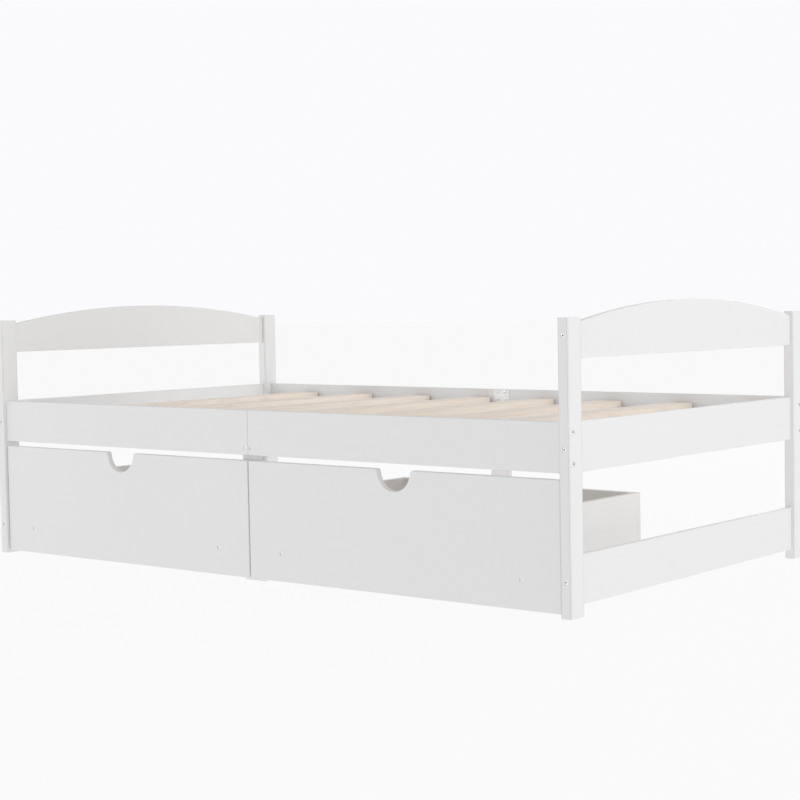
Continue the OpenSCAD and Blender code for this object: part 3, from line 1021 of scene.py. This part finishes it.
@dataclass
class EndBoards:
    """The arched panel, end rail and low rail of both ends, and the four corner posts."""

    body: str = "frame"
    post_edge: float = 0.9 * MM
    post_near: float = 1.6 * MM
    board_edge: float = 2.2 * MM
    straight_top: float = 80 * MM
    arch_steps: int = 96

    def panel_tree(self) -> PartTree:
        """Builds the tree of an arched panel.

        Returns:
            The tree.
        """
        sizes = "Across, Bottom, Shoulder, Rise, Thickness, Middle"
        tree = PartTree("arched_panel", Float=sizes, Int="Steps")
        given, maths, times = tree.given, tree.maths, tree.times
        sheet = tree.add(
            "GeometryNodeMeshGrid",
            {"Size X": given["Across"], "Size Y": 1.0, "Vertices X": given["Steps"], "Vertices Y": 2},
        )
        spot = tree.parts(tree.add("GeometryNodeInputPosition").outputs[0])
        half = times(given["Across"], 0.5)
        squares = maths("ADD", times(half, half), times(given["Rise"], given["Rise"]))
        radius = maths("DIVIDE", squares, times(given["Rise"], 2.0))
        inside = maths("SUBTRACT", times(radius, radius), times(spot["X"], spot["X"]))
        crown = maths("ADD", maths("SUBTRACT", given["Rise"], radius), maths("SQRT", inside))
        whole = maths("SUBTRACT", maths("ADD", given["Shoulder"], crown), given["Bottom"])
        height = maths("MULTIPLY_ADD", whole, maths("ADD", spot["Y"], 0.5), given["Bottom"])
        start = maths("MULTIPLY_ADD", given["Thickness"], -0.5, given["Middle"])
        there = {"Geometry": sheet.outputs[0], "Position": tree.vector(start, spot["X"], height)}
        shaped = tree.add("GeometryNodeSetPosition", there).outputs[0]
        tree.finish(tree.closed(shaped, (1.0, 0.0, 0.0), given["Thickness"]))
        return tree

    def build(self) -> None:
        """Makes both ends of the bed."""
        tree = self.panel_tree()
        for node in ("headboard_panel", "footboard_panel"):
            low, high = box_of(node)
            shoulder = low.z + self.straight_top
            piece = tree.make(
                node + "_arch",
                Across=high.y - low.y, Bottom=low.z, Shoulder=shoulder, Rise=high.z - shoulder,
                Thickness=high.x - low.x, Middle=(low.x + high.x) / 2,
                Steps=self.arch_steps, Finish=PAINT.material(Axis.Y),
            )
            settle(piece, turn_out=True)
            smooth(piece)
            round_edges(piece, self.board_edge, by_weight=False)
            put(piece, self.body, PAINT, node)
        for node in ("head_end_rail", "foot_end_rail", "head_low_rail", "foot_low_rail"):
            SoftBoard(node, self.body, PAINT, self.board_edge).build()
        for end in ("head", "foot"):
            for side in ("front", "rear"):
                SoftBoard(f"post_{end}_{side}", self.body, PAINT, self.post_edge, self.post_near).build()


@dataclass
class SideRails:
    """The rail halves, their ledgers, the centre legs and the joint plates of both long sides."""

    body: str = "frame"
    rail_edge: float = 1.6 * MM
    ledger_edge: float = 1.0 * MM
    plate_edge: float = 0.5 * MM

    def build(self) -> None:
        """Makes both long sides."""
        for side in ("front", "rear"):
            for end in ("head", "foot"):
                SoftBoard(f"{side}_rail_{end}_half", self.body, PAINT, self.rail_edge).build()
                SoftBoard(f"{side}_ledger_{end}_half", self.body, PAINT, self.ledger_edge).build()
            SoftBoard(f"centre_leg_{side}", self.body, PAINT, self.rail_edge).build()
            SoftBoard(f"joint_plate_{side}", self.body, ZINC, self.plate_edge).build()


@dataclass
class SlatDeck:
    """The row of pine slats that carries the mattress."""

    body: str = "frame"
    count: int = 8
    corner: float = 9 * MM
    edge: float = 1.8 * MM
    sink_gap: float = 0.25 * MM
    sink_depth: float = 2.8 * MM
    sink_clear: float = 1.3
    sharp_bend: float = 0.6
    corner_steps: int = 7
    seed: int = 11

    def tree(self) -> PartTree:
        """Builds the tree of the whole row of slats.

        Returns:
            The tree.
        """
        sizes = "First, Pitch, Width, Length, Thickness, Corner, Bottom, Screw Out, Sink Radius, Sink Depth"
        tree = PartTree("slat_deck", Float=sizes, Int="Count, Seed")
        given, maths, times = tree.given, tree.maths, tree.times
        outline = tree.add(
            "GeometryNodeCurvePrimitiveQuadrilateral", {"Width": given["Width"], "Height": given["Length"]}
        )
        corners = {"Curve": outline.outputs[0], "Radius": given["Corner"], "Count": self.corner_steps}
        rounded = tree.add("GeometryNodeFilletCurve", corners, mode="POLY")
        face = tree.add("GeometryNodeFillCurve", {0: rounded.outputs[0]}, mode="NGONS")
        board = tree.closed(face.outputs[0], (0.0, 0.0, 1.0), given["Thickness"])
        cutters = []
        for side in (-1.0, 1.0):
            drum = {"Vertices": 32, "Radius": given["Sink Radius"], "Depth": times(given["Sink Depth"], 2.0)}
            there = {
                "Geometry": tree.add("GeometryNodeMeshCylinder", drum).outputs[0],
                "Translation": tree.vector(y=times(given["Screw Out"], side), z=given["Thickness"]),
            }
            cutters.append(tree.add("GeometryNodeTransform", there).outputs[0])
        solids = {"Mesh 1": board, "Mesh 2": cutters}
        cut = tree.add("GeometryNodeMeshBoolean", solids, operation="DIFFERENCE")
        spot = tree.parts(tree.add("GeometryNodeInputPosition").outputs[0])
        past = maths("SUBTRACT", maths("ABSOLUTE", spot["Y"]), given["Screw Out"])
        reach = maths("SQRT", maths("ADD", times(past, past), times(spot["X"], spot["X"])))
        clear = maths("GREATER_THAN", reach, times(given["Sink Radius"], self.sink_clear))
        bend = tree.add("GeometryNodeInputMeshEdgeAngle").outputs["Unsigned Angle"]
        sharp = times(clear, maths("GREATER_THAN", bend, self.sharp_bend))
        marked = tree.add(
            "GeometryNodeStoreNamedAttribute",
            {"Geometry": cut.outputs[0], "Name": "bevel_weight_edge", "Value": sharp},
            data_type="FLOAT", domain="EDGE",
        )
        start = tree.vector(given["First"], z=given["Bottom"])
        line = {"Count": given["Count"], "Start Location": start, "Offset": tree.vector(given["Pitch"])}
        row = tree.add("GeometryNodeMeshLine", line)
        slats = {"Points": row.outputs[0], "Instance": marked.outputs[0]}
        placed = tree.add("GeometryNodeInstanceOnPoints", slats)
        chance = tree.add("FunctionNodeRandomValue", {"Seed": given["Seed"]}, data_type="FLOAT")
        varied = tree.add(
            "GeometryNodeStoreNamedAttribute",
            {"Geometry": placed.outputs[0], "Name": "board_shift", "Value": tree.live(chance.outputs)},
            data_type="FLOAT", domain="INSTANCE",
        )
        tree.finish(varied.outputs[0])
        return tree

    def build(self) -> None:
        """Makes the slats as one piece."""
        nodes = [f"slat_{i + 1}" for i in range(self.count)]
        low, high = box_of(nodes[0])
        first, last = (sum(box_of(node), Vector()).x / 2 for node in (nodes[0], nodes[-1]))
        screws = solids_of("slat_screws")
        screw_out = max(abs(a.y + b.y) / 2 for a, b in screws)
        head_r = max(b.x - a.x for a, b in screws) / 2
        piece = self.tree().make(
            "slat_deck",
            First=first, Pitch=(last - first) / (self.count - 1), Width=high.x - low.x, Length=high.y - low.y,
            Thickness=high.z - low.z, Corner=self.corner, Bottom=low.z, Screw_Out=screw_out,
            Sink_Radius=head_r + self.sink_gap, Sink_Depth=self.sink_depth, Count=self.count, Seed=self.seed,
            Finish=PINE.material(Axis.Y),
        )
        settle(piece, turn_out=True)
        smooth(piece)
        round_edges(piece, self.edge)
        put(piece, self.body, PINE, *nodes)


@dataclass
class Caster:
    """The wheels and brackets under one drawer."""

    hand: str
    hub_r: float = 12.5 * MM
    tread_round: float = 2.2 * MM
    dish: float = 2.5 * MM
    boss_r: float = 5.5 * MM
    slope: float = 0.8 * MM
    hub_step: float = 0.4 * MM
    hub_near: float = 0.1 * MM
    web_gap: float = 1.0 * MM
    corner_steps: int = 4
    axle_gap: float = 0.05 * MM
    axle_head: float = 3 * MM
    bracket_edge: float = 0.4 * MM
    steps: int = 64

    def wheel_profile(self, radius: float, half: float, bore: float) -> list[tuple[float, float]]:
        """Gives half a wheel's section, from the bore round to the bore again.

        Args:
            radius: outer radius.
            half: half of the width.
            bore: radius of the bore.

        Returns:
            Pairs of place along the axle and distance from it.
        """
        side = [
            (half, bore),
            (half, self.boss_r),
            (half - self.dish, self.boss_r + self.slope),
            (half - self.dish, self.hub_r - self.web_gap),
            (half - self.hub_step, self.hub_r),
            (half, self.hub_r + self.slope),
        ]
        turns = [math.radians(90 * step / self.corner_steps) for step in range(self.corner_steps + 1)]
        right = side + [
            (half - self.tread_round * (1 - math.cos(turn)), radius - self.tread_round * (1 - math.sin(turn)))
            for turn in turns
        ]
        return right + [(-along, reach) for along, reach in reversed(right)]

    def wheels(self, node: str, body: str, axle_d: float) -> None:
        """Makes the two wheels of one line.

        Args:
            node: CAD node of the pair.
            body: body that they ride on.
            axle_d: diameter of their axle.
        """
        work = bmesh.new()
        for low, high in solids_of(node):
            centre = (low + high) / 2
            size = (high - low) / 2
            profile = self.wheel_profile(size.z, size.x, axle_d / 2 + self.axle_gap)
            rings = []
            for step in range(self.steps):
                angle = 2 * math.pi * step / self.steps
                rings.append([
                    work.verts.new(centre + Vector((along, reach * math.cos(angle), reach * math.sin(angle))))
                    for along, reach in profile
                ])
            reaches = [reach for along, reach in profile]
            hub = [max(pair) < self.hub_r + self.hub_near for pair in zip(reaches, reaches[1:] + reaches[:1])]
            for index, face in enumerate(skin(work, rings, joined=True)):
                face.material_index = int(hub[index % len(hub)])
        mesh = close_up(work, bpy.data.meshes.new(node + "_moulded"))
        mesh.materials.append(TREAD.material())
        mesh.materials.append(HUB.material())
        piece = new_object(node + "_moulded", mesh)
        smooth(piece)
        put(piece, body, TREAD, node)

    def build(self) -> None:
        """Makes the casters of one drawer."""
        body = f"{self.hand}_drawer"
        axles = solids_of(f"{self.hand}_caster_axles")
        axle_d = min(high.z - low.z for low, high in axles) - self.axle_head
        for line in ("front", "rear"):
            self.wheels(f"{self.hand}_wheels_{line}", f"{self.hand}_drawer_{line}_wheels", axle_d)
        SoftBoard(f"{self.hand}_caster_brackets", body, ZINC, self.bracket_edge).build()


@dataclass
class RollingDrawer:
    """One drawer: its notched front, its box, its screws and its casters."""

    hand: str
    front_edge: float = 2.0 * MM
    box_edge: float = 1.2 * MM
    screw_d: float = 4 * MM

    def build(self) -> None:
        """Makes the drawer."""
        body = f"{self.hand}_drawer"
        SoftBoard(f"{body}_front", body, PAINT, self.front_edge, notch=True).build()
        for part in ("side_outer", "side_inner", "back", "bottom"):
            SoftBoard(f"{body}_{part}", body, BOX_BOARD, self.box_edge).build()
        low, high = box_of(f"{body}_bottom")
        middle = (low + high) / 2
        for kind, head_end in (("drawer", HeadEnd.OUTWARD), ("caster", HeadEnd.DOWN)):
            node = f"{self.hand}_{kind}_screws"
            FastenerRow(node, body, head_end, Drive.CROSS, self.screw_d, middle).build()
        Caster(self.hand).build()


@dataclass
class FrameHardware:
    """Bolts, screws, inserts and dowels of the fixed frame."""

    body: str = "frame"
    bolt_d: float = 6 * MM
    screw_d: float = 4 * MM

    def build(self) -> None:
        """Makes all the hardware."""
        middle = Vector((0.0, 0.0, 0.0))
        for node, head_end, drive, shank_d in (
            ("end_board_bolts", HeadEnd.OUTWARD, Drive.HEXAGON, self.bolt_d),
            ("side_rail_bolts", HeadEnd.OUTWARD, Drive.HEXAGON, self.bolt_d),
            ("centre_leg_screws", HeadEnd.OUTWARD, Drive.CROSS, self.screw_d),
            ("joint_plate_screws", HeadEnd.INWARD, Drive.CROSS, self.screw_d),
            ("slat_screws", HeadEnd.UP, Drive.CROSS, self.screw_d),
        ):
            FastenerRow(node, self.body, head_end, drive, shank_d, middle).build()
        for node, finish in (("threaded_inserts", ZINC), ("dowels", BEECH)):
            dress_node(node, finish)


def dress_node(node: str, finish: Finish) -> None:
    """Gives a CAD node that stays visible its finish.

    Args:
        node: name of the node.
        finish: the finish.
    """
    low, high = solids_of(node)[0]
    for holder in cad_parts[node].material_slots:
        holder.material = finish.material(long_axis(low, high))
    LOG.info("%s keeps its CAD shape", node)


# ------------------------------------------------------------
# Studio

LIGHTS = (
    ("foot_light", 46.0, 2.4, (5.0, 0.0, 2.2)),
    ("rear_light", 56.0, 2.4, (0.0, 4.5, 2.6)),
    ("head_light", 36.0, 2.4, (-5.0, -1.0, 1.8)),
    ("front_light", 15.0, 0.8, (-3.5, -4.2, 1.6)),
)


@dataclass
class Studio:
    """Floor, lights, background and camera."""

    stand: tuple[float, float, float] = (3.16512, -3.54838, 0.70025)
    turn_deg: float = 35.485
    dip_deg: float = 2.780
    lean_deg: float = 0.7714
    lens: float = 77.183
    sensor: float = 36.0
    slide_x: float = -0.2186
    slide_y: float = -0.0224
    sky: Colour = (0.956, 0.956, 0.973)
    low_fill: float = 0.75
    top_fill: float = 0.52
    floor_half: float = 40.0
    sky_band: Stretch = (0.15, 0.85)
    far: float = 200.0
    aim: tuple[float, float, float] = (0.0, 0.0, 0.35)

    def camera(self) -> None:
        """Makes the camera and sets it as the scene's."""
        data = bpy.data.cameras.new("studio_camera")
        data.sensor_width = self.sensor
        data.lens = self.lens
        data.shift_x, data.shift_y = self.slide_x, self.slide_y
        data.clip_end = self.far
        eye = bpy.data.objects.new("studio_camera", data)
        bpy.context.scene.collection.objects.link(eye)
        turned = (
            Matrix.Rotation(math.radians(self.turn_deg), 4, "Z")
            @ Matrix.Rotation(math.radians(90.0 - self.dip_deg), 4, "X")
            @ Matrix.Rotation(math.radians(-self.lean_deg), 4, "Z")
        )
        eye.matrix_world = Matrix.Translation(self.stand) @ turned
        bpy.context.scene.camera = eye

    def panel(self, name: str, power: float, size: float, place: Sequence[float]) -> None:
        """Adds one soft square light that looks at the bed.

        Args:
            name: its name.
            power: its power in watts.
            size: length of its side in metres.
            place: where it hangs.
        """
        data = bpy.data.lights.new(name, "AREA")
        data.energy = power
        data.size = size
        lamp = bpy.data.objects.new(name, data)
        lamp.visible_camera = False
        way = (Vector(place) - Vector(self.aim)).to_track_quat("Z", "Y")
        lamp.matrix_world = Matrix.Translation(place) @ way.to_matrix().to_4x4()
        bpy.context.scene.collection.objects.link(lamp)

    def background(self) -> None:
        """Makes a plain pale sky that lights the bed evenly."""
        world = bpy.data.worlds.new("studio")
        world.use_nodes = True
        sketch = NodeSketch(world.node_tree)
        seen = sketch.add("ShaderNodeLightPath").outputs["Is Camera Ray"]
        way = sketch.parts(sketch.add("ShaderNodeTexCoord").outputs["Generated"])["Z"]
        low, high = (rgba((fill, fill, fill)) for fill in (self.low_fill, self.top_fill))
        fill = sketch.blend(sketch.ramp(way, *self.sky_band), low, high)
        glow = sketch.add("ShaderNodeBackground", {"Color": sketch.blend(seen, fill, rgba(self.sky))})
        sketch.add("ShaderNodeOutputWorld", {"Surface": glow.outputs[0]})
        bpy.context.scene.world = world
        bpy.context.scene.view_settings.view_transform = "Standard"

    def floor(self) -> None:
        """Lays the pale floor."""
        half = self.floor_half
        mesh = bpy.data.meshes.new("studio_floor")
        corners = [(-half, -half, 0), (half, -half, 0), (half, half, 0), (-half, half, 0)]
        mesh.from_pydata(corners, [], [(0, 1, 2, 3)])
        mesh.materials.append(FLOOR.material())
        new_object("studio_floor", mesh)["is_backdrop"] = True

    def build(self) -> None:
        """Sets up the whole studio."""
        self.camera()
        self.background()
        self.floor()
        for name, power, size, place in LIGHTS:
            self.panel(name, power, size, place)


def main() -> None:
    """Builds every part of the bed in order."""
    logging.basicConfig(level=logging.INFO, format="%(name)s: %(message)s")
    cad_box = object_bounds()
    Studio().build()
    EndBoards().build()
    SideRails().build()
    SlatDeck().build()
    FrameHardware().build()
    for hand in ("left", "right"):
        RollingDrawer(hand).build()
        dress_node(f"{hand}_caster_axles", ZINC)
    boxes = {"cad": cad_box, "visual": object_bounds()}
    {name: [list(corner) for corner in box] for name, box in boxes.items()}


if __name__ == "__main__":
    main()
